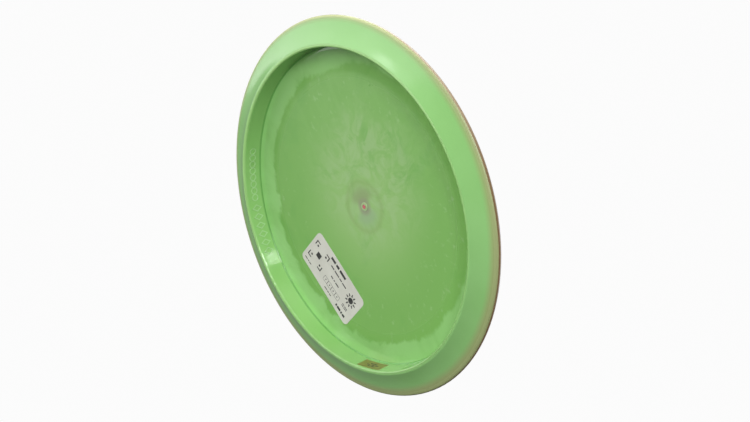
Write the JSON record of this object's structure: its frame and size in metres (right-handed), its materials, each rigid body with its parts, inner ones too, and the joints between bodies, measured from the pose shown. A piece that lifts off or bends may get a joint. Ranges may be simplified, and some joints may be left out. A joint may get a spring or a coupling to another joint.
{
  "type": "flying disc",
  "caption": "Golf flying disc with a wide wing-shaped rim, a shallow domed flight plate and a deep open cavity underneath.",
  "frame": {"origin": "centre of the ring on the rim's lip that the disc rests on", "axes": "+Z along the spin axis, up through the domed flight plate; the cavity opens towards -Z; +X and +Y lie in the resting plane, and the paper label is in the +X +Y quarter"},
  "size_m": [0.211, 0.211, 0.0153],
  "materials": {
    "moulded_green": "satin gloss, faintly pearly pale green, tinted brown at the nose",
    "label_paper": "matt coated paper, printed dark grey",
    "sticker_foil": "thin gold-olive film with a darker border",
    "stamp_foil": "bright hot-stamped foil"
  },
  "bodies": {
    "root": {"rim": "moulded_green", "flight_plate": "moulded_green", "spec_label": "label_paper", "stock_sticker": "sticker_foil", "top_stamp": "stamp_foil"}
  },
  "joints": []
}
